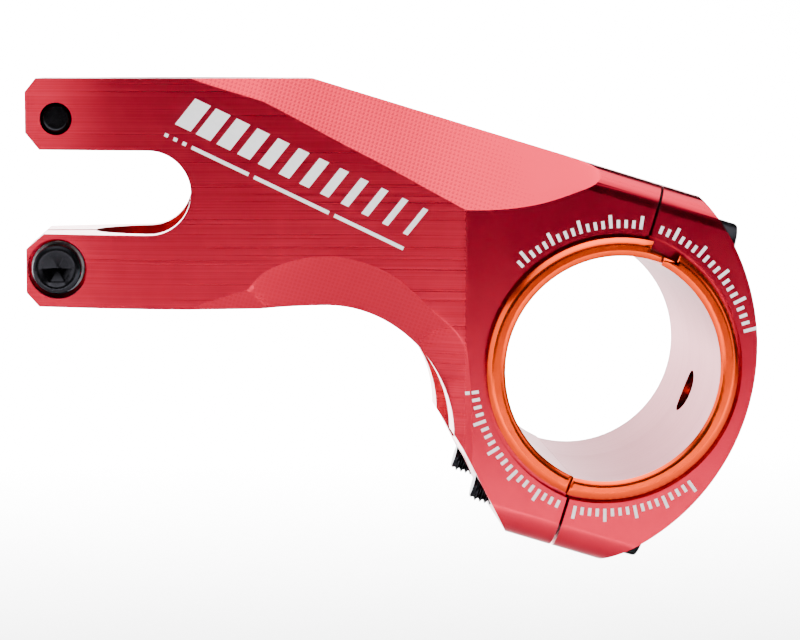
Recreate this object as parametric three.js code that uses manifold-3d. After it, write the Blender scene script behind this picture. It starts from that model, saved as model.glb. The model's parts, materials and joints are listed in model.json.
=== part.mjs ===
// A handlebar stem for a bicycle: a machined body that clamps a steerer tube at the back and a
// handlebar at the front, a face plate, two half shims that line the bar clamp, and its bolts.
// Millimetres, +Z up along the steerer, +X forward to the bar, +Y across the stem.
// The origin is on the steerer axis, at the lower face of the steerer clamp.

import * as THREE from 'three';
import { mergeVertices } from 'three/addons/utils/BufferGeometryUtils.js';
import Module from 'manifold-3d';

const wasm = await Module();
wasm.setup();

// ---------------------------------------------------------------- driving dimensions

const GAP = 0.3;                 // clearance between pieces that rest on each other

const STEERER_BORE_R = 14.3;     // 28.6 mm steerer tube
const STACK = 35;                // height of the steerer clamp
const STEERER_HALF_WIDTH = 18.9; // half width of the stem beside the steerer
const BACK_X = -24.6;            // back end of the ears
const EAR_HALF_WIDTH = 10.5;     // half width over the ears at their back end
const SLIT_HALF = 1.25;          // half the slit between the ears
const WINDOW_LOW = 11.2;         // lower edge of the window between the two arms
const WINDOW_HIGH = 24.05;       // upper edge of that window
const WINDOW_END_X = 0.72;       // round end of the window

const BAR_X = 65.45;             // axis of the bar clamp
const BAR_Z = -9.2;
const BAR_SLOPE = THREE.MathUtils.degToRad(17);   // the clamp faces down by this angle
const CLAMP_HALF_WIDTH = 24;     // half width of the bar clamp
const CLAMP_HALF_HEIGHT = 28.8;  // bar axis to the clamp's flat top and bottom
const CLAMP_EDGE_R = 4;          // rounding of the clamp's long side edges
const SPLIT_U = -2;              // the body's split face, from the bar axis
const CLOSED_BY = 2.3;           // how far the empty clamp is closed past a round bore
const FACET_ROWS = 6;            // strips across a milled facet

const PLATE_BACK_U = 0.75;       // the plate's split face, from the plate's own bore axis
const PLATE_R = 34.5;            // radius of the plate's front
const PLATE_CENTRE_U = -11.64;   // and its centre, in the clamp's axes
const PLATE_CENTRE_W = -0.6;

const SHIM_BORE_R = 17.5;        // 35 mm handlebar
const SHIM_TUBE_R = 18.5;
const SHIM_FLANGE_R = 20.25;
const SHIM_HALF_WIDTH = 25;
const SHIM_FLANGE = 2.8;         // thickness of the shim's end flanges
const SHIM_TURN = THREE.MathUtils.degToRad(5.2);  // the shims' parting is turned this much
const REAR_SHIM_PART = 0.75;     // the rear shim stops this far from its own diameter
const FRONT_SHIM_PART = CLOSED_BY + GAP - REAR_SHIM_PART;
const SHIM_NOTCH = 2.1;          // length of the notch in each flange's upper end
const SHIM_HOLE_R = 3.4;         // hole through the front shim
const SHIM_HOLE_W = -1.4;
const SHIM_INNER_CHAMFER = 0.5;
const SHIM_OUTER_CHAMFER = 0.7;
const CLAMP_BORE_R = 19.1;
const RECESS_R = 20.9;           // recess that the shims' flanges sit in
const RECESS_DEPTH = CLAMP_HALF_WIDTH - SHIM_HALF_WIDTH + SHIM_FLANGE + GAP;

const BOLT_R = 2.2;              // M5, at the middle of its thread
const BOLT_HOLE_R = BOLT_R + GAP;
const HEAD_R = 3.7;
const HEAD_LENGTH = 5;
const HEX_FLATS = 4;
const HEX_DEPTH = 2.6;
const FACE_COUNTERBORE_R = 4.4;
const PINCH_COUNTERBORE_R = 4.6;
const WASHER_R = 4.1;
const WASHER_THICK = 0.8;

const FACE_BOLT_HIGH_W = 22.7;   // upper face-plate bolts, above the bar axis
const FACE_BOLT_LOW_W = -23.5;   // and the lower ones, below it
const FACE_BOLT_Y = 17;          // and to each side of the middle
const FACE_SEAT_U = 9.15;        // underside of a head, from the plate's bore axis
const FACE_BOLT_LENGTH = 22.4;
const FACE_HOLE_END_U = -17.5;   // bottom of the threaded holes, from the body's bar axis

const PINCH_X = -19.8;
const PINCH_LOW_Z = 5.9;
const PINCH_HIGH_Z = 28.8;
const PINCH_SEAT = 9.5;          // underside of a head, from the middle of the stem
const PINCH_BOLT_LENGTH = 20.6;

const ROUND = 90;                // segments of the large circles
const SMALL_ROUND = 32;          // segments of the bolts and their holes

// ---------------------------------------------------------------- materials

const RED = new THREE.MeshStandardMaterial({ color: 0xb81f2c, roughness: 0.32, metalness: 0.85 });
const ORANGE = new THREE.MeshStandardMaterial({ color: 0xe2571a, roughness: 0.3, metalness: 0.85 });
const BLACK = new THREE.MeshStandardMaterial({ color: 0x17181a, roughness: 0.4, metalness: 0.7 });
const STEEL = new THREE.MeshStandardMaterial({ color: 0x8c9096, roughness: 0.35, metalness: 0.9 });

// ---------------------------------------------------------------- joining and cutting

// A three.js geometry as a manifold-3d solid.
function solid(geometry) {
  geometry.deleteAttribute('normal');
  geometry.deleteAttribute('uv');
  const merged = mergeVertices(geometry, 1e-4);
  const vertProperties = new Float32Array(merged.attributes.position.array);
  const triVerts = new Uint32Array(merged.index.array);
  return new wasm.Manifold(new wasm.Mesh({ numProp: 3, vertProperties, triVerts }));
}

function meshFrom(name, body, material) {
  const result = body.getMesh();
  const geometry = new THREE.BufferGeometry();
  geometry.setAttribute('position', new THREE.BufferAttribute(result.vertProperties, 3));
  geometry.setIndex(new THREE.BufferAttribute(result.triVerts, 1));
  geometry.computeVertexNormals();
  const mesh = new THREE.Mesh(geometry, material);
  mesh.name = name;
  return mesh;
}

function extrude(shape, depth, curveSegments = 24) {
  return new THREE.ExtrudeGeometry(shape, { depth, curveSegments, bevelEnabled: false });
}

// A side-view shape (x, z), extruded across the stem from y = low to y = high.
function extrudeAcross(shape, low, high, curveSegments) {
  const geometry = extrude(shape, high - low, curveSegments);
  geometry.rotateX(Math.PI / 2);
  geometry.translate(0, high, 0);
  return solid(geometry);
}

// A top-view shape (x, y), extruded upwards.
function extrudeUp(shape, low, high, curveSegments) {
  const geometry = extrude(shape, high - low, curveSegments);
  geometry.translate(0, 0, low);
  return solid(geometry);
}

// A cylinder along Y, from y = low to y = high, with its axis through (x, z).
function cylinderAcross(radius, low, high, x, z, segments) {
  const geometry = new THREE.CylinderGeometry(radius, radius, high - low, segments);
  geometry.translate(x, (low + high) / 2, z);
  return solid(geometry);
}

// A cylinder along X, from x = low to x = high, with its axis through (y, z).
function cylinderAlong(radius, low, high, y, z, segments) {
  const geometry = new THREE.CylinderGeometry(radius, radius, high - low, segments);
  geometry.rotateZ(-Math.PI / 2);
  geometry.translate((low + high) / 2, y, z);
  return solid(geometry);
}

function box(low, high) {
  const geometry = new THREE.BoxGeometry(high[0] - low[0], high[1] - low[1], high[2] - low[2]);
  geometry.translate((low[0] + high[0]) / 2, (low[1] + high[1]) / 2, (low[2] + high[2]) / 2);
  return solid(geometry);
}

function joinAll(solids) {
  return solids.reduce((sum, next) => sum.add(next));
}

// The clamp's own axes, u forward and w up, are turned down by BAR_SLOPE about the bar axis.
// A solid that is built round the origin in (u, y, w) goes to its place in the stem's frame.
function fromClampAxes(body, alongU = 0) {
  const degrees = THREE.MathUtils.radToDeg(BAR_SLOPE);
  return body.translate([alongU, 0, 0]).rotate([0, degrees, 0]).translate([BAR_X, 0, BAR_Z]);
}

function clampPoint(u, w) {
  const x = BAR_X + u * Math.cos(BAR_SLOPE) + w * Math.sin(BAR_SLOPE);
  const z = BAR_Z - u * Math.sin(BAR_SLOPE) + w * Math.cos(BAR_SLOPE);
  return [x, z];
}

// ---------------------------------------------------------------- the body's outer form

// Side view: the steerer clamp, the sloping extension, and the bar clamp up to its split face.
function sideOutline() {
  const shape = new THREE.Shape();
  const topCorner = clampPoint(SPLIT_U, CLAMP_HALF_HEIGHT);
  const slopeStart = topCorner[0] - (STACK - topCorner[1]) / Math.tan(BAR_SLOPE);
  shape.moveTo(BACK_X, 2.1);
  shape.lineTo(BACK_X + 2, 0);
  shape.lineTo(11, 0);
  shape.quadraticCurveTo(16, 0.3, 21.2, 0.3);
  shape.absarc(21.2, -18.9, 19.2, Math.PI / 2, 0, true);
  shape.lineTo(...clampPoint(-19.2, -18.3));
  shape.lineTo(...clampPoint(-9, -CLAMP_HALF_HEIGHT));
  shape.lineTo(...clampPoint(SPLIT_U, -CLAMP_HALF_HEIGHT));
  shape.lineTo(...topCorner);
  shape.lineTo(slopeStart, STACK);
  shape.lineTo(BACK_X + 1.7, STACK);
  shape.lineTo(BACK_X, STACK - 2.1);
  return shape;
}

// Top view: ears that widen towards the steerer clamp, then a flare to the bar clamp.
function planOutline() {
  const shape = new THREE.Shape();
  shape.moveTo(BACK_X, -EAR_HALF_WIDTH);
  shape.lineTo(BACK_X, EAR_HALF_WIDTH);
  shape.bezierCurveTo(-15, 14.6, -7, 18.2, 4, STEERER_HALF_WIDTH);
  shape.bezierCurveTo(16, 19.7, 30, 20, 42, CLAMP_HALF_WIDTH);
  shape.lineTo(100, CLAMP_HALF_WIDTH);
  shape.lineTo(100, -CLAMP_HALF_WIDTH);
  shape.lineTo(42, -CLAMP_HALF_WIDTH);
  shape.bezierCurveTo(30, -20, 16, -19.7, 4, -STEERER_HALF_WIDTH);
  shape.bezierCurveTo(-7, -18.2, -15, -14.6, BACK_X, -EAR_HALF_WIDTH);
  return shape;
}

// The clamp's section across the bar, with its four long edges rounded.
function roundedSection() {
  const halfWidth = CLAMP_HALF_WIDTH;
  const halfHeight = CLAMP_HALF_HEIGHT;
  const r = CLAMP_EDGE_R;
  const shape = new THREE.Shape();
  shape.absarc(halfWidth - r, halfHeight - r, r, 0, Math.PI / 2);
  shape.absarc(-halfWidth + r, halfHeight - r, r, Math.PI / 2, Math.PI);
  shape.absarc(-halfWidth + r, -halfHeight + r, r, Math.PI, 1.5 * Math.PI);
  shape.absarc(halfWidth - r, -halfHeight + r, r, 1.5 * Math.PI, 2 * Math.PI);
  return shape;
}

function roundedBar(lowU, highU) {
  const geometry = extrude(roundedSection(), highU - lowU, 6);
  geometry.rotateX(Math.PI / 2);
  geometry.rotateZ(Math.PI / 2);
  geometry.translate(lowU, 0, 0);
  return solid(geometry);
}

// ---------------------------------------------------------------- machined facets

// A cutter under (or over) the ruled surface between two rails, on the side y > 0.
// The rails are stretched past each other, so that the cut runs out of the body.
function ruledCutter(outerRail, innerRail, steps, height) {
  const outer = new THREE.CatmullRomCurve3(outerRail).getPoints(steps);
  const inner = new THREE.CatmullRomCurve3(innerRail).getPoints(steps);
  const positions = [];
  const lift = new THREE.Vector3(0, 0, height);
  outer.forEach((point, i) => {
    const across = point.clone().sub(inner[i]).multiplyScalar(0.6);
    const edge = point.clone().add(across);
    const root = inner[i].clone().sub(across);
    for (let row = 0; row <= FACET_ROWS; row += 1) {
      positions.push(edge.clone().lerp(root, row / FACET_ROWS));
    }
    positions.push(root.clone().add(lift), edge.clone().add(lift));
  });
  const around = FACET_ROWS + 3;
  const index = [];
  for (let i = 0; i < steps; i += 1) {
    const here = around * i;
    for (let side = 0; side < around; side += 1) {
      const next = (side + 1) % around;
      const [a, b] = [here + side, here + next];
      index.push(a, b, b + around, a, b + around, a + around);
    }
  }
  const last = around * steps;
  const corner = around - 1;
  for (let side = 0; side < corner - 1; side += 1) {
    index.push(corner, side + 1, side);
    index.push(last + corner, last + side, last + side + 1);
  }
  const geometry = new THREE.BufferGeometry().setFromPoints(positions);
  geometry.setIndex(height > 0 ? index.reverse() : index);
  return solid(geometry.toNonIndexed());
}

const rail = (points) => points.map(([x, y, z]) => new THREE.Vector3(x, y, z));

// The large facet over the extension and its small lead-in towards the steerer clamp.
function upperFacets() {
  const main = ruledCutter(
    rail([[11.3, 19.2, 31.9], [25.7, 20.6, 24], [40.1, 23.6, 16], [52, 24, 15.9], [63, 24, 19.4]]),
    rail([[11.3, 17, 35], [25.7, 15, 32.9], [40.1, 15.4, 28.5], [52, 18.2, 24.9], [63, 22, 21.5]]),
    36, 40);
  const leadIn = ruledCutter(
    rail([[-1, 18.9, 34.9], [12, 19.2, 31.7]]),
    rail([[-1, 17, 37.7], [12, 17.3, 34.6]]),
    1, 40);
  return main.add(leadIn);
}

// The facet that follows the arch under the extension, and its lead-in.
function lowerFacets() {
  const main = ruledCutter(
    rail([[9.1, 19.1, 2.75], [12.6, 19.2, 5.7], [21.5, 20, 8], [30, 21.3, 6.1], [36.6, 22.8, 1.3],
      [41.5, 24, -3.4], [43.4, 24.6, -9], [44.4, 25, -19]]),
    rail([[11.6, 17.5, 0], [13.5, 16.6, 0.2], [21.2, 15.1, 0.3], [28.5, 15.9, -1.1],
      [34, 18.4, -4.5], [38, 20.3, -9.5], [39.6, 21.6, -14], [40.4, 22, -21]]),
    49, -40);
  const leadIn = ruledCutter(
    rail([[0.6, 18.5, 0], [12.6, 19.3, 3.9]]),
    rail([[3.3, 16.7, -2.75], [15.3, 17.5, 1.15]]),
    1, -40);
  return main.add(leadIn);
}

// The scoop milled into the underside, between the side walls and behind the bar clamp's wall.
function undersidePocket() {
  const wall = 23.2;
  const shape = new THREE.Shape();
  shape.moveTo(27, -12);
  shape.lineTo(27, 3);
  shape.quadraticCurveTo(27, 8, 32, 8);
  shape.lineTo(47.5, 5.6);
  shape.absarc(BAR_X, BAR_Z, wall, 2.45, 3.62, false);
  shape.lineTo(40, -30);
  return extrudeAcross(shape, -13, 13, 16);
}

// ---------------------------------------------------------------- holes of the body

function windowCut() {
  const radius = (WINDOW_HIGH - WINDOW_LOW) / 2;
  const middle = (WINDOW_HIGH + WINDOW_LOW) / 2;
  const shape = new THREE.Shape();
  shape.moveTo(BACK_X - 4, WINDOW_LOW - 2.4 - 4);
  shape.lineTo(BACK_X, WINDOW_LOW - 2.4);
  shape.lineTo(BACK_X + 2.8, WINDOW_LOW);
  shape.absarc(WINDOW_END_X - radius, middle, radius, -Math.PI / 2, Math.PI / 2, false);
  shape.lineTo(BACK_X + 2.2, WINDOW_HIGH);
  shape.lineTo(BACK_X, WINDOW_HIGH + 2.6);
  shape.lineTo(BACK_X - 4, WINDOW_HIGH + 2.6 + 4);
  return extrudeAcross(shape, -30, 30, 16);
}

function steererCut() {
  const geometry = new THREE.CylinderGeometry(STEERER_BORE_R, STEERER_BORE_R, STACK + 4, ROUND);
  geometry.rotateX(Math.PI / 2);
  geometry.translate(0, 0, STACK / 2);
  const slit = box([BACK_X - 2, -SLIT_HALF, -2], [-10, SLIT_HALF, STACK + 2]);
  return solid(geometry).add(slit);
}

// One pinch bolt's hole; side is -1 where the head is at y < 0 and +1 where it is at y > 0.
function pinchHole(z, side) {
  const seat = PINCH_SEAT - GAP - WASHER_THICK - GAP;
  const hole = cylinderAcross(BOLT_HOLE_R, -30, 30, PINCH_X, z, SMALL_ROUND);
  const low = Math.min(side * seat, side * 30);
  const high = Math.max(side * seat, side * 30);
  return hole.add(cylinderAcross(PINCH_COUNTERBORE_R, low, high, PINCH_X, z, SMALL_ROUND));
}

// The bar bore with its recesses, round the origin, for the body and for the plate.
function barCut() {
  const bore = cylinderAcross(CLAMP_BORE_R, -30, 30, 0, 0, ROUND);
  const floor = CLAMP_HALF_WIDTH - RECESS_DEPTH;
  const near = cylinderAcross(RECESS_R, -30, -floor, 0, 0, ROUND);
  const far = cylinderAcross(RECESS_R, floor, 30, 0, 0, ROUND);
  return joinAll([bore, near, far]);
}

const FACE_BOLTS = [
  ['upper_near', -FACE_BOLT_Y, FACE_BOLT_HIGH_W],
  ['upper_far', FACE_BOLT_Y, FACE_BOLT_HIGH_W],
  ['lower_near', -FACE_BOLT_Y, FACE_BOLT_LOW_W],
  ['lower_far', FACE_BOLT_Y, FACE_BOLT_LOW_W],
];

function makeBody() {
  const outer = extrudeAcross(sideOutline(), -30, 30, 20)
    .intersect(extrudeUp(planOutline(), -80, 80, 16))
    .intersect(fromClampAxes(roundedBar(-140, SPLIT_U + 1)));
  const facets = upperFacets().add(lowerFacets());
  const threaded = FACE_BOLTS.map(([, y, w]) => (
    cylinderAlong(BOLT_HOLE_R, FACE_HOLE_END_U, 10, y, w, SMALL_ROUND)));
  const cuts = [
    facets,
    facets.mirror([0, 1, 0]),
    undersidePocket(),
    windowCut(),
    steererCut(),
    pinchHole(PINCH_LOW_Z, -1),
    pinchHole(PINCH_HIGH_Z, 1),
    fromClampAxes(joinAll([barCut(), ...threaded])),
  ];
  return outer.subtract(joinAll(cuts));
}

// ---------------------------------------------------------------- face plate

function makePlate() {
  const topAngle = Math.asin((CLAMP_HALF_HEIGHT - PLATE_CENTRE_W) / PLATE_R);
  const bottomAngle = Math.asin((-CLAMP_HALF_HEIGHT - PLATE_CENTRE_W) / PLATE_R);
  const shape = new THREE.Shape();
  shape.moveTo(PLATE_BACK_U, CLAMP_HALF_HEIGHT);
  shape.lineTo(PLATE_BACK_U, -CLAMP_HALF_HEIGHT);
  shape.absarc(PLATE_CENTRE_U, PLATE_CENTRE_W, PLATE_R, bottomAngle, topAngle, false);
  const blank = extrudeAcross(shape, -30, 30, 32).intersect(roundedBar(0, 30));
  const seat = FACE_SEAT_U - GAP - WASHER_THICK - GAP;
  const holes = FACE_BOLTS.map(([, y, w]) => {
    const shank = cylinderAlong(BOLT_HOLE_R, 0, 30, y, w, SMALL_ROUND);
    return shank.add(cylinderAlong(FACE_COUNTERBORE_R, seat, 30, y, w, SMALL_ROUND));
  });
  return fromClampAxes(blank.subtract(joinAll([barCut(), ...holes])), -CLOSED_BY);
}

// ---------------------------------------------------------------- shims

// A whole flanged sleeve along Y, turned from its half section.
function sleeve() {
  const inside = SHIM_HALF_WIDTH - SHIM_FLANGE;
  const half = [
    [SHIM_BORE_R, SHIM_HALF_WIDTH - SHIM_INNER_CHAMFER],
    [SHIM_BORE_R + SHIM_INNER_CHAMFER, SHIM_HALF_WIDTH],
    [SHIM_FLANGE_R - SHIM_OUTER_CHAMFER, SHIM_HALF_WIDTH],
    [SHIM_FLANGE_R, SHIM_HALF_WIDTH - SHIM_OUTER_CHAMFER],
    [SHIM_FLANGE_R, inside],
    [SHIM_TUBE_R, inside],
  ];
  const mirrored = half.map(([r, y]) => [r, -y]).reverse();
  const profile = [...half, ...mirrored, half[0]].map(([r, y]) => new THREE.Vector2(r, y));
  return solid(new THREE.LatheGeometry(profile.reverse(), ROUND));
}

// A notch in both flanges, at the top end of the parting face; sign is +1 on the front shim.
function flangeNotches(sign) {
  const floor = SHIM_BORE_R + 1.1;
  const low = sign > 0 ? 0 : -REAR_SHIM_PART - SHIM_NOTCH;
  const high = sign > 0 ? FRONT_SHIM_PART + SHIM_NOTCH : 0;
  const inside = SHIM_HALF_WIDTH - SHIM_FLANGE;
  const near = box([low, -30, floor], [high, -inside, 30]);
  const far = box([low, inside, floor], [high, 30, 30]);
  return near.add(far);
}

// sign is +1 for the half in front of the parting and -1 for the half behind it.
function makeShim(sign) {
  const keep = sign > 0
    ? box([FRONT_SHIM_PART, -30, -30], [30, 30, 30])
    : box([-30, -30, -30], [-REAR_SHIM_PART, 30, 30]);
  const half = sleeve().intersect(keep).subtract(flangeNotches(sign));
  return half.rotate([0, THREE.MathUtils.radToDeg(SHIM_TURN), 0]);
}

function makeRearShim() {
  return fromClampAxes(makeShim(-1));
}

function makeFrontShim() {
  const hole = cylinderAlong(SHIM_HOLE_R, 10, 30, 0, SHIM_HOLE_W, SMALL_ROUND);
  return fromClampAxes(makeShim(1).subtract(hole), -CLOSED_BY);
}

// ---------------------------------------------------------------- bolts and washers

// A socket-head bolt along +X: its shank ends at x = 0 - length, its head stands on x = 0.
function makeBolt(length) {
  const profile = [
    [0, -length],
    [BOLT_R - 0.5, -length],
    [BOLT_R, -length + 0.5],
    [BOLT_R, 0],
    [HEAD_R, 0],
    [HEAD_R, HEAD_LENGTH - 0.5],
    [HEAD_R - 0.5, HEAD_LENGTH],
    [0, HEAD_LENGTH],
  ].map(([r, y]) => new THREE.Vector2(r, y));
  const turned = new THREE.LatheGeometry(profile, SMALL_ROUND);
  const hexRadius = HEX_FLATS / Math.sqrt(3);
  const socket = new THREE.CylinderGeometry(hexRadius, hexRadius, 2 * HEX_DEPTH, 6);
  socket.translate(0, HEAD_LENGTH, 0);
  return solid(turned).subtract(solid(socket)).rotate([0, 0, -90]);
}

function makeWasher() {
  const profile = [
    [BOLT_HOLE_R, 0],
    [WASHER_R, 0],
    [WASHER_R, WASHER_THICK],
    [BOLT_HOLE_R, WASHER_THICK],
    [BOLT_HOLE_R, 0],
  ].map(([r, y]) => new THREE.Vector2(r, y));
  return solid(new THREE.LatheGeometry(profile, SMALL_ROUND)).rotate([0, 0, -90]);
}

// ---------------------------------------------------------------- the assembly

const stem = new THREE.Group();
stem.add(meshFrom('stem_body', makeBody(), RED));
stem.add(meshFrom('face_plate', makePlate(), RED));
stem.add(meshFrom('rear_shim', makeRearShim(), ORANGE));
stem.add(meshFrom('front_shim', makeFrontShim(), ORANGE));

for (const [place, y, w] of FACE_BOLTS) {
  const bolt = makeBolt(FACE_BOLT_LENGTH).translate([FACE_SEAT_U, y, w]);
  const washer = makeWasher().translate([FACE_SEAT_U - GAP - WASHER_THICK, y, w]);
  stem.add(meshFrom(`face_bolt_${place}`, fromClampAxes(bolt, -CLOSED_BY), BLACK));
  stem.add(meshFrom(`face_washer_${place}`, fromClampAxes(washer, -CLOSED_BY), STEEL));
}

const PINCH_BOLTS = [
  ['lower', PINCH_LOW_Z, -1],
  ['upper', PINCH_HIGH_Z, 1],
];

for (const [place, z, side] of PINCH_BOLTS) {
  const turn = [0, 0, side * 90];
  const out = side * PINCH_SEAT;
  const under = side * (PINCH_SEAT - GAP - WASHER_THICK);
  const bolt = makeBolt(PINCH_BOLT_LENGTH).rotate(turn).translate([PINCH_X, out, z]);
  const washer = makeWasher().rotate(turn).translate([PINCH_X, under, z]);
  stem.add(meshFrom(`pinch_bolt_${place}`, bolt, BLACK));
  stem.add(meshFrom(`pinch_washer_${place}`, washer, STEEL));
}

export default stem;
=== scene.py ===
"""The looks of a machined handlebar stem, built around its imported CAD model.

Everything is in metres, in the CAD model's own frame: +Z up along the steerer, +X forward to the
bar, +Y across the stem, with the origin on the steerer axis at the clamp's lower face.
"""
import json
import math
from functools import reduce

import bmesh
import bpy
from mathutils import Matrix, Vector
from mathutils.bvhtree import BVHTree

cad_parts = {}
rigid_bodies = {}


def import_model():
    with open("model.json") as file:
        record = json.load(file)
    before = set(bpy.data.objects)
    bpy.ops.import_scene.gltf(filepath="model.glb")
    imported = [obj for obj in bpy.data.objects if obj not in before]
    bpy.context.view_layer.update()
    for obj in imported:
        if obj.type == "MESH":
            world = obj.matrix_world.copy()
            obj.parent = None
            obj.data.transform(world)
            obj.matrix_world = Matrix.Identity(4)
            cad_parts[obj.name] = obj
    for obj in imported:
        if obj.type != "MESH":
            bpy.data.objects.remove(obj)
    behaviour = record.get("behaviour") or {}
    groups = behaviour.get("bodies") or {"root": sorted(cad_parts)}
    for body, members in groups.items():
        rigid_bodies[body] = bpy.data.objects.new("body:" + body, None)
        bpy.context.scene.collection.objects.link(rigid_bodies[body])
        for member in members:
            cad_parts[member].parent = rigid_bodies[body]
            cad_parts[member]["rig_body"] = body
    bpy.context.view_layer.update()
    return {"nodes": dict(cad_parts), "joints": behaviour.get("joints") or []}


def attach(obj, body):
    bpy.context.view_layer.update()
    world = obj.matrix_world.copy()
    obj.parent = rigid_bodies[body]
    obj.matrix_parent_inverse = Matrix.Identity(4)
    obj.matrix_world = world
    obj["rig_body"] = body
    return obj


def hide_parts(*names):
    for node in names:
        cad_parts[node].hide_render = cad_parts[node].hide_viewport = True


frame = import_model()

MM = 0.001
NODES = frame["nodes"]
JOINTS = {joint["name"]: joint for joint in frame["joints"]}

# ------------------------------------------------------------------ driving sizes

BAR_SLOPE = math.radians(17)       # the bar clamp faces down by this angle
CLOSED_BY = 2.3 * MM               # the empty clamp is closed past round by this much
SHIM_BORE = 17.5 * MM
BODY_EDGE = 0.25 * MM              # edge breaks left by the finishing cutter
SHIM_EDGE = 0.38 * MM
WASHER_EDGE = 0.12 * MM
EDGE_TURN = math.radians(28)       # an edge that turns by more than this is broken

WELD_DISTANCE = 0.001 * MM
FLAT_TURN = math.radians(0.05)     # faces that turn by less than this are one flat face
FACET_AREA = 0.2 * MM * MM         # a facet's pieces are larger than this, and edge breaks smaller
FACET_TURN = math.radians(5)
FACET_LEAN = 0.1                   # a leaning facet's normal has at least this much of Z in it
WALL_LEAN = 0.03                   # and an upright wall's has at most this much
BORE_SLACK = 0.05 * MM             # the bore's faces lie within this of its radius
BORE_LEAN = 0.3                    # and their normals have at most this much of Y in them

THREAD_PITCH = 0.8 * MM            # M5
THREAD_MAJOR = 2.45 * MM
THREAD_MINOR = 1.98 * MM
THREAD_STEP = THREAD_PITCH / 8     # from one ring of points to the next
THREAD_FADE = 8                    # rings over which the thread runs out at each end
NECK = 1.2 * MM                    # plain length under the head
HEAD_CHAMFER = 0.55 * MM
HEX_HALF = 2.0 * MM                # 4 mm socket
HEX_DEPTH = 2.6 * MM
SOCKET_MOUTH = 2.35 * MM
DRILL_TIP = 1.1 * MM               # depth of the cone under the socket
BOLT_AROUND = 60                   # points round a bolt, a multiple of six

PRINT_LIFT = 0.01 * MM             # the print stands this far off the metal
PRINT_THICK = 0.02 * MM
PRINT_STEP = 0.5 * MM              # the print follows the metal in steps of this size

BAND_START = Vector((-1.6 * MM, 28.1 * MM))        # foot of the first bar, as (x, z)
BAND_SLOPE = math.radians(25.6)
BAND_HEIGHT = 4.8 * MM
BAND_LEAN = 1.1 * MM
BAND_BARS = 12
BAND_PITCH = 3.45 * MM
BAND_FIRST_WIDTH = 2.6 * MM
BAND_LAST_WIDTH = 0.8 * MM
DASH_START = Vector((-3.3 * MM, 26.3 * MM))
DASH_HEIGHT = 0.55 * MM
DASH_GAP = 0.9 * MM
DASH_LENGTHS = [length * MM for length in (0.6, 0.6, 0.6, 9.5, 12.5, 11.5)]
TICK_TURN = 3.0                    # degrees from one tick to the next
TICK_FOOT = 21.7 * MM
TICK_SHORT = 22.9 * MM
TICK_LONG = 23.7 * MM
TICK_WIDTH = 0.5 * MM
TICKS_TO_LONG = 4                  # every fourth tick is a long one
BODY_SCALES = ((82, 133), (-172, -114))            # first and last angle of each scale, in degrees
PLATE_SCALES = ((14, 68), (-102, -54))
OUTSIDE = 0.04                     # a place beside the stem, clear of its walls

FLOOR_Z = -0.12
SWEEP_STEPS = 16
CAMERA_PLACE = (0.00284, -0.474, 0.03765)
CAMERA_TARGET = (0.03198, -0.025, -0.00117)
CAMERA_LENS = 135.3

FORWARD = Vector((math.cos(BAR_SLOPE), 0, -math.sin(BAR_SLOPE)))

BAR_AXIS = Vector((0.06545, 0, -0.0092))          # the bar axis of the body's half
PLATE_AXIS = BAR_AXIS - FORWARD * CLOSED_BY       # and of the plate's half

# ------------------------------------------------------------------ materials


NOISE_RANGE = (0.3, 0.7)           # most of a noise texture's values
WAVE_UNIT = math.tau / 20          # a wave texture's period at scale 1

RED_DEEP = (0.38, 0.008, 0.026)
RED_LIGHT = (0.56, 0.018, 0.050)
SATIN_ROUGH = 0.22
MILLED_ROUGH = 0.27
RED_BUMP = 0.24
SCALLOP_PITCH = 0.62 * MM
LEANING = (0.2, 0.3)               # how much of Z a normal has, from a wall to a leaning facet
LEVEL = (0.85, 0.9)                # and from a leaning facet to a level face
WALL_END = (41.8 * MM, 42.4 * MM)  # the cutter lines end between these places along X
SCALLOP_END = (40 * MM, 54 * MM)   # and the scallops between these
MILLED_END = (58 * MM, 62 * MM)    # and the rougher finish of the facets between these

ORANGE_DEEP = (0.64, 0.038, 0.001)
ORANGE_LIGHT = (0.80, 0.060, 0.002)


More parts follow.
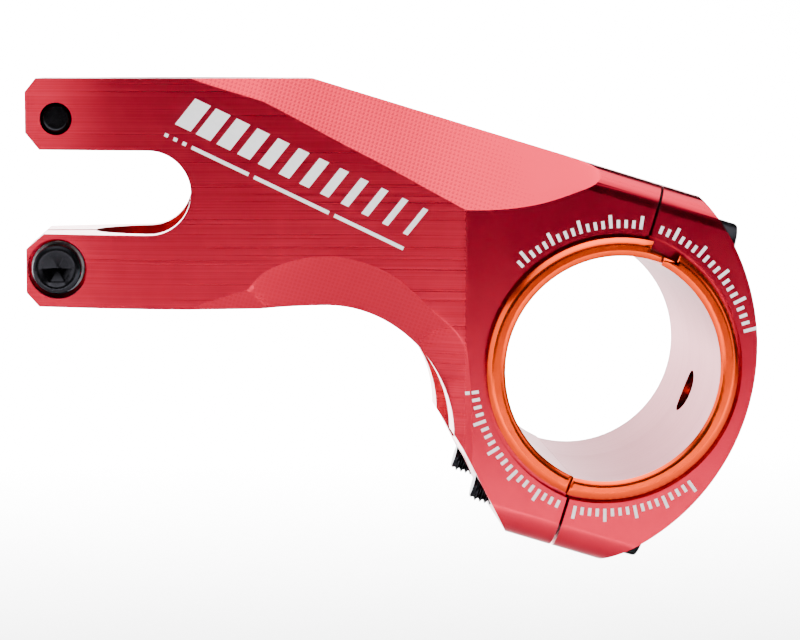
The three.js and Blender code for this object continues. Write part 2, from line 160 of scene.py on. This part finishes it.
class Surface:
    """A new material, with short ways to add the nodes that feed its shader."""

    def __init__(self, name, metallic=0.0):
        self.material = bpy.data.materials.new(name)
        self.material.use_nodes = True
        self.nodes = self.material.node_tree.nodes
        self.links = self.material.node_tree.links
        self.inputs = self.nodes["Principled BSDF"].inputs
        self.inputs["Metallic"].default_value = metallic

    def coordinates(self, scale, turn=0.0):
        """Object coordinates, turned about Y and stretched by a scale per axis."""
        mapping = self.nodes.new("ShaderNodeMapping")
        mapping.inputs["Rotation"].default_value = (0, turn, 0)
        mapping.inputs["Scale"].default_value = scale
        source = self.nodes.new("ShaderNodeTexCoord")
        self.links.new(source.outputs["Object"], mapping.inputs["Vector"])
        return mapping.outputs["Vector"]

    def noise(self, scale, detail=2.0):
        texture = self.nodes.new("ShaderNodeTexNoise")
        texture.inputs["Scale"].default_value = 1.0
        texture.inputs["Detail"].default_value = detail
        self.links.new(self.coordinates(scale), texture.inputs["Vector"])
        return texture.outputs["Fac"]

    def ridges(self, direction, period, distortion=0.0):
        """Even ridges along the bar clamp's own forward or upward axis."""
        texture = self.nodes.new("ShaderNodeTexWave")
        texture.bands_direction = direction
        texture.inputs["Scale"].default_value = 1.0
        texture.inputs["Distortion"].default_value = distortion
        turned = self.coordinates((WAVE_UNIT / period,) * 3, -BAR_SLOPE)
        self.links.new(turned, texture.inputs["Vector"])
        return texture.outputs["Fac"]

    def remap(self, value, source, target):
        node = self.nodes.new("ShaderNodeMapRange")
        names = ("From Min", "From Max", "To Min", "To Max")
        for name, number in zip(names, (*source, *target)):
            node.inputs[name].default_value = number
        self.links.new(value, node.inputs["Value"])
        return node.outputs["Result"]

    def maths(self, operation, first, second):
        """One sum on two values, each of them a number or another node's output."""
        node = self.nodes.new("ShaderNodeMath")
        node.operation = operation
        for socket, value in zip(node.inputs, (first, second)):
            if isinstance(value, (int, float)):
                socket.default_value = value
            else:
                self.links.new(value, socket)
        return node.outputs[0]

    def product(self, *values):
        return reduce(lambda first, second: self.maths("MULTIPLY", first, second), values)

    def total(self, *values):
        return reduce(lambda first, second: self.maths("ADD", first, second), values)

    def colour(self, factor, dark, light):
        mix = self.nodes.new("ShaderNodeMix")
        mix.data_type = "RGBA"
        mix.inputs["A"].default_value = (*dark, 1)
        mix.inputs["B"].default_value = (*light, 1)
        self.links.new(factor, mix.inputs["Factor"])
        self.links.new(mix.outputs["Result"], self.inputs["Base Color"])

    def roughness(self, factor, low, high):
        """A roughness that follows a noise texture."""
        self.links.new(self.remap(factor, NOISE_RANGE, (low, high)), self.inputs["Roughness"])

    def bump(self, height, distance, strength):
        node = self.nodes.new("ShaderNodeBump")
        node.inputs["Strength"].default_value = strength
        node.inputs["Distance"].default_value = distance
        self.links.new(height, node.inputs["Height"])
        self.links.new(node.outputs["Normal"], self.inputs["Normal"])

    def edge_tint(self, colour):
        """The colour of a metal's reflection where it is seen edge-on."""
        self.inputs["Specular Tint"].default_value = (*colour, 1)


def anodised_red():
    """Milled and anodised aluminium: straight cutter lines on the extension's walls, rows of small
    scallops from a ball cutter where the surface leans, and a smooth satin on the bar clamp. The
    scallop rows are also painted darker in the colour, as painted shade in their hollows."""
    red = Surface("anodised_red", 1.0)
    position = red.nodes.new("ShaderNodeSeparateXYZ")
    red.links.new(red.nodes.new("ShaderNodeTexCoord").outputs["Object"], position.inputs["Vector"])
    along = position.outputs["X"]
    normal = red.nodes.new("ShaderNodeSeparateXYZ")
    red.links.new(red.nodes.new("ShaderNodeNewGeometry").outputs["Normal"], normal.inputs["Vector"])
    lean = red.maths("ABSOLUTE", normal.outputs["Z"], 0.0)

    leaning = red.remap(lean, LEANING, (0.0, 1.0))
    not_level = red.remap(lean, LEVEL, (1.0, 0.0))
    extension = red.remap(along, WALL_END, (1.0, 0.0))
    wall = red.product(red.maths("SUBTRACT", 1.0, leaning), extension)

    lines = red.remap(red.noise((10, 10, 4500), detail=3), NOISE_RANGE, (0.0, 1.0))
    streaks = red.product(lines, wall)
    rows = (red.ridges("X", SCALLOP_PITCH), red.ridges("Z", SCALLOP_PITCH, 0.3))
    scallops = red.product(*rows, leaning, not_level, red.remap(along, SCALLOP_END, (1.0, 0.0)))
    grain = red.noise((3500, 3500, 3500), detail=1)
    height = red.total(red.product(scallops, 6.0), streaks, red.product(grain, 0.15))
    red.bump(height, 0.02 * MM, RED_BUMP)

    cloud = red.noise((70, 70, 70), detail=3)
    # The scallop rows' negative share is painted shade: it darkens the colour in their hollows in place
    # of the shade that light gives them.
    tone_shares_with_painted_shade = ((cloud, 0.4), (streaks, 0.6), (wall, -0.3), (scallops, -0.5))
    shade = red.total(*(red.product(value, share) for value, share in tone_shares_with_painted_shade))
    red.colour(shade, RED_DEEP, RED_LIGHT)

    facets = red.product(leaning, red.remap(along, MILLED_END, (1.0, 0.0)))
    cut = red.maths("MAXIMUM", extension, facets)
    milled = red.remap(cut, (0.0, 1.0), (SATIN_ROUGH, MILLED_ROUGH))
    red.links.new(red.total(milled, red.product(streaks, 0.03)), red.inputs["Roughness"])
    return red.material


def anodised_orange():
    """Turned and anodised aluminium, with a soft variation in its colour."""
    orange = Surface("anodised_orange", 1.0)
    cloud = orange.noise((80, 80, 80))
    orange.colour(cloud, ORANGE_DEEP, ORANGE_LIGHT)
    orange.roughness(cloud, 0.21, 0.25)
    return orange.material


def bare_bore():
    """Bored aluminium without colour: fine rings round the bore, one for each turn of the tool."""
    bare = Surface("bare_bore", 1.0)
    rings = bare.noise((6, 4200, 6))
    bare.bump(rings, 0.008 * MM, 0.3)
    bare.colour(bare.noise((50, 50, 50)), (0.33, 0.22, 0.23), (0.41, 0.29, 0.30))
    bare.edge_tint((0.50, 0.31, 0.33))
    bare.roughness(rings, 0.34, 0.46)
    return bare.material


def black_oxide():
    """Blackened steel, with the fine grain that the bath leaves."""
    black = Surface("black_oxide", 0.9)
    grain = black.noise((2500, 2500, 2500))
    black.bump(grain, 0.01 * MM, 0.3)
    black.colour(grain, (0.008, 0.008, 0.010), (0.018, 0.018, 0.021))
    black.edge_tint((0.35, 0.35, 0.37))
    black.roughness(grain, 0.17, 0.25)
    return black.material


def plated_steel():
    steel = Surface("plated_steel", 1.0)
    grain = steel.noise((900, 900, 900))
    steel.colour(grain, (0.40, 0.41, 0.43), (0.55, 0.56, 0.58))
    steel.roughness(grain, 0.28, 0.42)
    return steel.material


def white_print():
    white = Surface("white_print")
    white.colour(white.noise((1500, 1500, 1500)), (0.74, 0.73, 0.74), (0.86, 0.85, 0.86))
    white.inputs["Roughness"].default_value = 0.55
    return white.material


def studio_white():
    pale = Surface("studio_white")
    pale.colour(pale.noise((40, 40, 40)), (0.70, 0.70, 0.70), (0.73, 0.73, 0.73))
    pale.inputs["Roughness"].default_value = 0.9
    return pale.material


RED = anodised_red()
ORANGE = anodised_orange()
BARE = bare_bore()
BLACK = black_oxide()
STEEL = plated_steel()
WHITE = white_print()

# ------------------------------------------------------------------ making pieces


def place(name, bm, body, materials, replaces=()):
    """A finished bmesh as a piece of the object."""
    mesh = bpy.data.meshes.new(name)
    bm.to_mesh(mesh)
    bm.free()
    for material in materials:
        mesh.materials.append(material)
    piece = bpy.data.objects.new(name, mesh)
    bpy.context.scene.collection.objects.link(piece)
    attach(piece, body)
    if replaces:
        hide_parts(*replaces)
    return piece


def keep_facet_edges(piece):
    """Keeps the edges crisp where an upright wall meets a facet that leans only a little."""
    bm = bmesh.new()
    bm.from_mesh(piece.data)
    for edge in bm.edges:
        leans = sorted(abs(face.normal.z) for face in edge.link_faces)
        if leans[0] < WALL_LEAN and leans[-1] > FACET_LEAN and edge.calc_face_angle(0) > FACET_TURN:
            if min(face.calc_area() for face in edge.link_faces) > FACET_AREA:
                edge.smooth = False
    bm.to_mesh(piece.data)
    bm.free()


def smooth(piece, degrees=32):
    """Smooth shading that stays flat on flat faces and breaks at real edges."""
    mesh = piece.data
    mesh.polygons.foreach_set("use_smooth", [True] * len(mesh.polygons))
    mesh.set_sharp_from_angle(angle=math.radians(degrees))
    keep_facet_edges(piece)
    weighted = piece.modifiers.new("weighted", "WEIGHTED_NORMAL")
    weighted.keep_sharp = True
    weighted.weight = 50


def cad_copy(node):
    """The CAD node's solid as one welded bmesh, with its flat faces joined up."""
    bm = bmesh.new()
    bm.from_mesh(NODES[node].data)
    bmesh.ops.remove_doubles(bm, verts=bm.verts, dist=WELD_DISTANCE)
    bmesh.ops.dissolve_limit(bm, angle_limit=FLAT_TURN, verts=bm.verts, edges=bm.edges)
    return bm


def turning_edges(bm):
    """The edges where the surface turns sharply."""
    joined = [edge for edge in bm.edges if len(edge.link_faces) == 2]
    return [edge for edge in joined if edge.calc_face_angle(0) > EDGE_TURN]


def break_edges(bm, edges, width, clamp=True):
    """Rounds the given edges. Clamped, it rounds them by less where the full width would overlap."""
    bmesh.ops.bevel(
        bm, geom=edges, offset=width, offset_type="OFFSET", segments=2,
        profile=0.5, affect="EDGES", clamp_overlap=clamp)


def milled_piece(name, node, body):
    bm = cad_copy(node)
    break_edges(bm, turning_edges(bm), BODY_EDGE)
    piece = place(name, bm, body, [RED], (node,))
    smooth(piece)
    return piece


def paint_bore(piece, axis):
    """Gives the faces of the bar bore the bare-metal material, which is the piece's second one."""
    for face in piece.data.polygons:
        offset = face.center - axis
        offset.y = 0
        if offset.length < SHIM_BORE + BORE_SLACK and abs(face.normal.y) < BORE_LEAN:
            face.material_index = 1


def turned_shim(name, node, body, axis):
    """A half shim, whose edges are broken at its two end faces only."""
    bm = cad_copy(node)
    end = max(vertex.co.y for vertex in bm.verts) - SHIM_EDGE
    rims = [edge for edge in turning_edges(bm) if all(abs(vertex.co.y) > end for vertex in edge.verts)]
    break_edges(bm, rims, SHIM_EDGE, clamp=False)
    piece = place(name, bm, body, [ORANGE, BARE], (node,))
    smooth(piece)
    paint_bore(piece, axis)


# ------------------------------------------------------------------ bolts


def hex_radius(angle):
    """The hexagonal socket's wall, at an angle round the bolt."""
    return HEX_HALF / math.cos((angle % math.radians(60)) - math.radians(30))


def thread_radius(angle, height):
    """A rounded 60 degree thread on a right-hand helix."""
    phase = (height / THREAD_PITCH - angle / math.tau) % 1.0
    ridge = min(max(1.5 * (1 - abs(2 * phase - 1)) - 0.25, 0), 1)
    return THREAD_MINOR + (THREAD_MAJOR - THREAD_MINOR) * ridge


def add_ring(bm, height, radius):
    ring = []
    for i in range(BOLT_AROUND):
        angle = math.tau * i / BOLT_AROUND
        r = radius(angle) if callable(radius) else radius
        ring.append(bm.verts.new((r * math.cos(angle), r * math.sin(angle), height)))
    return ring


def close_rings(bm, rings):
    for lower, upper in zip(rings, rings[1:]):
        for i in range(BOLT_AROUND):
            j = (i + 1) % BOLT_AROUND
            bm.faces.new((lower[i], lower[j], upper[j], upper[i]))
    bm.faces.new(list(reversed(rings[0])))
    bm.faces.new(rings[-1])


def thread_rings(bm, end):
    """The thread, from the screw's end to the neck, fading in and out."""
    rings = [add_ring(bm, end, THREAD_MINOR - 0.5 * MM), add_ring(bm, end, THREAD_MINOR - 0.1 * MM)]
    steps = int((-end - NECK) / THREAD_STEP)
    for i in range(1, steps):
        height = end + i * THREAD_STEP
        fade = min(1.0, i / THREAD_FADE, (steps - i) / THREAD_FADE)
        rings.append(add_ring(bm, height, lambda angle: (
            THREAD_MINOR + (thread_radius(angle, height) - THREAD_MINOR) * fade)))
    return rings


def head_rings(bm, top, radius):
    """The neck, the head and its socket, as rings from below the seat to the socket's bottom."""
    outline = (
        (-NECK, THREAD_MINOR),
        (-NECK + 0.3 * MM, THREAD_MAJOR),
        (0, THREAD_MAJOR),
        (0, radius - 0.25 * MM),
        (0.1 * MM, radius - 0.07 * MM),
        (0.3 * MM, radius),
        (top - HEAD_CHAMFER, radius),
        (top - 0.4 * HEAD_CHAMFER, radius - 0.12 * MM),
        (top - 0.08 * MM, radius - 0.42 * MM),
        (top, radius - 0.62 * MM),
        (top, SOCKET_MOUTH + 0.4 * MM),
        (top - 0.1 * MM, SOCKET_MOUTH + 0.25 * MM),
        (top - 0.35 * MM, lambda angle: min(hex_radius(angle), SOCKET_MOUTH)),
        (top - HEX_DEPTH, hex_radius),
        (top - HEX_DEPTH - 0.05 * MM, lambda angle: hex_radius(angle) * 0.93),
        (top - HEX_DEPTH - DRILL_TIP, 0.15 * MM),
    )
    return [add_ring(bm, height, reach) for height, reach in outline]


def bolt(node, joint):
    """A socket-head screw in the place of a CAD bolt, with a real helical thread."""
    axis = Vector(joint["axis"])
    seat = Vector(joint["pos_m"])
    offsets = [vertex.co - seat for vertex in NODES[node].data.vertices]
    along = [offset.dot(axis) for offset in offsets]
    radius = max((offset - axis * reach).length for offset, reach in zip(offsets, along))
    bm = bmesh.new()
    close_rings(bm, thread_rings(bm, min(along)) + head_rings(bm, max(along), radius))
    turn = axis.to_track_quat("Z", "Y").to_matrix().to_4x4()
    bmesh.ops.transform(bm, matrix=Matrix.Translation(seat) @ turn, verts=bm.verts)
    bmesh.ops.recalc_face_normals(bm, faces=bm.faces)
    piece = place(node + "_screw", bm, joint["child"], [BLACK], (node,))
    smooth(piece, 40)


def washer(node, body):
    bm = cad_copy(node)
    break_edges(bm, turning_edges(bm), WASHER_EDGE)
    piece = place(node + "_plated", bm, body, [STEEL], (node,))
    smooth(piece)


# ------------------------------------------------------------------ the pieces

stem_body = milled_piece("stem_body_milled", "stem_body", "stem")
face_plate = milled_piece("face_plate_milled", "face_plate", "face_plate")
turned_shim("rear_shim_turned", "rear_shim", "stem", BAR_AXIS)
turned_shim("front_shim_turned", "front_shim", "face_plate", PLATE_AXIS)

for joint_name, joint in JOINTS.items():
    if joint_name.endswith("_turn"):
        bolt(joint_name.removesuffix("_turn"), joint)
for node in sorted(NODES):
    if "washer" in node:
        washer(node, NODES[node]["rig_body"])

# ------------------------------------------------------------------ print


def on_metal(tree, side, x, z, lift):
    """The point of the wall at (x, z) on one side of the stem, lifted off the metal."""
    spot, normal, _, _ = tree.ray_cast(Vector((x, side * OUTSIDE, z)), Vector((0, -side, 0)))
    return spot + normal * lift


def add_ink(bm, tree, side, corners):
    """A thin closed patch of ink on the part of the wall inside four (x, z) corners."""
    a, b, c, d = (Vector(corner) for corner in corners)
    across = max(1, round((b - a).length / PRINT_STEP))
    up = max(1, round((d - a).length / PRINT_STEP))
    sheets = []
    for lift in (PRINT_LIFT, PRINT_LIFT + PRINT_THICK):
        sheet = []
        for j in range(up + 1):
            low_to_high = j / up
            row = []
            for i in range(across + 1):
                spot = a.lerp(b, i / across).lerp(d.lerp(c, i / across), low_to_high)
                row.append(bm.verts.new(on_metal(tree, side, *spot, lift)))
            sheet.append(row)
        sheets.append(sheet)
    under, over = sheets
    for j in range(up):
        for i in range(across):
            bm.faces.new((over[j][i], over[j][i + 1], over[j + 1][i + 1], over[j + 1][i]))
            bm.faces.new((under[j][i], under[j + 1][i], under[j + 1][i + 1], under[j][i + 1]))
    rim = [(0, i) for i in range(across)] + [(j, across) for j in range(up)]
    rim += [(up, i) for i in range(across, 0, -1)] + [(j, 0) for j in range(up, 0, -1)]
    for (j, i), (k, m) in zip(rim, rim[1:] + rim[:1]):
        bm.faces.new((under[j][i], under[k][m], over[k][m], over[j][i]))


def slanted_bars():
    """A band of leaning bars that thin out along the extension, over a line of dashes."""
    along = Vector((math.cos(BAND_SLOPE), -math.sin(BAND_SLOPE)))
    across = Vector((math.sin(BAND_SLOPE), math.cos(BAND_SLOPE)))
    marks = []
    for i in range(BAND_BARS):
        width = BAND_FIRST_WIDTH + (BAND_LAST_WIDTH - BAND_FIRST_WIDTH) * i / (BAND_BARS - 1)
        foot = BAND_START + along * BAND_PITCH * i
        top = foot + across * BAND_HEIGHT + along * BAND_LEAN
        marks.append((foot, foot + along * width, top + along * width, top))
    reach = 0.0
    for length in DASH_LENGTHS:
        foot = DASH_START + along * reach
        top = foot + across * DASH_HEIGHT
        marks.append((foot, foot + along * length, top + along * length, top))
        reach += length + DASH_GAP
    return marks


def scale_marks(centre, scales):
    """A ruler's ticks round a bore, along each arc from a first to a last angle in degrees."""
    middle = Vector((centre.x, centre.z))
    marks = []
    for first, last in scales:
        for i in range(round((last - first) / TICK_TURN) + 1):
            angle = math.radians(first + i * TICK_TURN)
            out = Vector((math.cos(angle), math.sin(angle)))
            half = Vector((-out.y, out.x)) * (TICK_WIDTH / 2)
            foot = middle + out * TICK_FOOT
            top = middle + out * (TICK_LONG if i % TICKS_TO_LONG == 0 else TICK_SHORT)
            marks.append((foot - half, foot + half, top + half, top - half))
    return marks


def printed(name, metal, body, marks):
    """The marks in white ink, on the near and on the far wall of a piece."""
    tree = BVHTree.FromObject(metal, bpy.context.evaluated_depsgraph_get())
    bm = bmesh.new()
    for side in (-1, 1):
        for corners in marks:
            add_ink(bm, tree, side, corners)
    bmesh.ops.recalc_face_normals(bm, faces=bm.faces)
    place(name, bm, body, [WHITE])


printed("body_print", stem_body, "stem", slanted_bars() + scale_marks(BAR_AXIS, BODY_SCALES))
printed("plate_print", face_plate, "face_plate", scale_marks(PLATE_AXIS, PLATE_SCALES))

# ------------------------------------------------------------------ stage, light and camera


def studio_stage():
    """A pale floor that sweeps up into a backdrop well behind the object."""
    bm = bmesh.new()
    front, back, top, radius, half = -1.0, 1.9, 0.7, 0.6, 2.0
    profile = [(front, FLOOR_Z), (back - radius, FLOOR_Z)]
    for i in range(1, SWEEP_STEPS + 1):
        angle = math.radians(90 * i / SWEEP_STEPS)
        y = back - radius + radius * math.sin(angle)
        profile.append((y, FLOOR_Z + radius * (1 - math.cos(angle))))
    profile.append((back, top))
    rows = [[bm.verts.new((x, y, z)) for x in (-half, half)] for y, z in profile]
    for low, high in zip(rows, rows[1:]):
        bm.faces.new((low[0], low[1], high[1], high[0]))
    mesh = bpy.data.meshes.new("studio_sweep")
    bm.to_mesh(mesh)
    bm.free()
    mesh.polygons.foreach_set("use_smooth", [True] * len(mesh.polygons))
    mesh.materials.append(studio_white())
    sweep = bpy.data.objects.new("studio_sweep", mesh)
    bpy.context.scene.collection.objects.link(sweep)


def area_light(name, location, target, size, power, spread=180):
    data = bpy.data.lights.new(name, "AREA")
    data.shape = "RECTANGLE"
    data.size, data.size_y = size
    data.energy = power
    data.spread = math.radians(spread)
    light = bpy.data.objects.new(name, data)
    light.location = location
    light.rotation_euler = (Vector(target) - Vector(location)).to_track_quat("-Z", "Y").to_euler()
    bpy.context.scene.collection.objects.link(light)


def studio_lights():
    """Soft lights that the metal reflects: two above it and one at each side. A light on the floor
    in front is for the upright walls, which reflect the floor, and a strong one is for the backdrop."""
    world = bpy.data.worlds.new("studio")
    world.use_nodes = True
    world.node_tree.nodes["Background"].inputs["Color"].default_value = (0.9, 0.92, 1.0, 1)
    world.node_tree.nodes["Background"].inputs["Strength"].default_value = 0.03
    bpy.context.scene.world = world
    area_light("front_top", (0.05, -0.43, 0.5), (0.05, -0.41, 0), (1.0, 0.5), 5.2, 110)
    area_light("front_floor", (0.05, -0.5, 0.3), (0.05, -0.5, 0.001), (1.2, 0.4), 12, 70)
    area_light("overhead", (0.05, 0.05, 0.6), (0.05, 0.05, 0), (0.9, 0.5), 3.6, 100)
    area_light("left", (-0.92, -0.45, 0.12), (0.03, 0, 0), (0.6, 0.9), 6)
    area_light("right", (0.95, -0.5, 0.1), (0.06, 0, 0), (0.5, 0.8), 2.5)
    area_light("backdrop", (0, 0.75, 0.85), (0, 1.45, -0.12), (1.8, 0.6), 330, 140)


def photo_camera():
    data = bpy.data.cameras.new("photo_camera")
    data.lens = CAMERA_LENS
    data.sensor_width = 36
    data.clip_start, data.clip_end = 0.02, 20
    camera = bpy.data.objects.new("photo_camera", data)
    camera.location = CAMERA_PLACE
    ahead = Vector(CAMERA_TARGET) - camera.location
    camera.rotation_euler = ahead.to_track_quat("-Z", "Y").to_euler()
    bpy.context.scene.collection.objects.link(camera)
    bpy.context.scene.camera = camera


studio_stage()
studio_lights()
photo_camera()
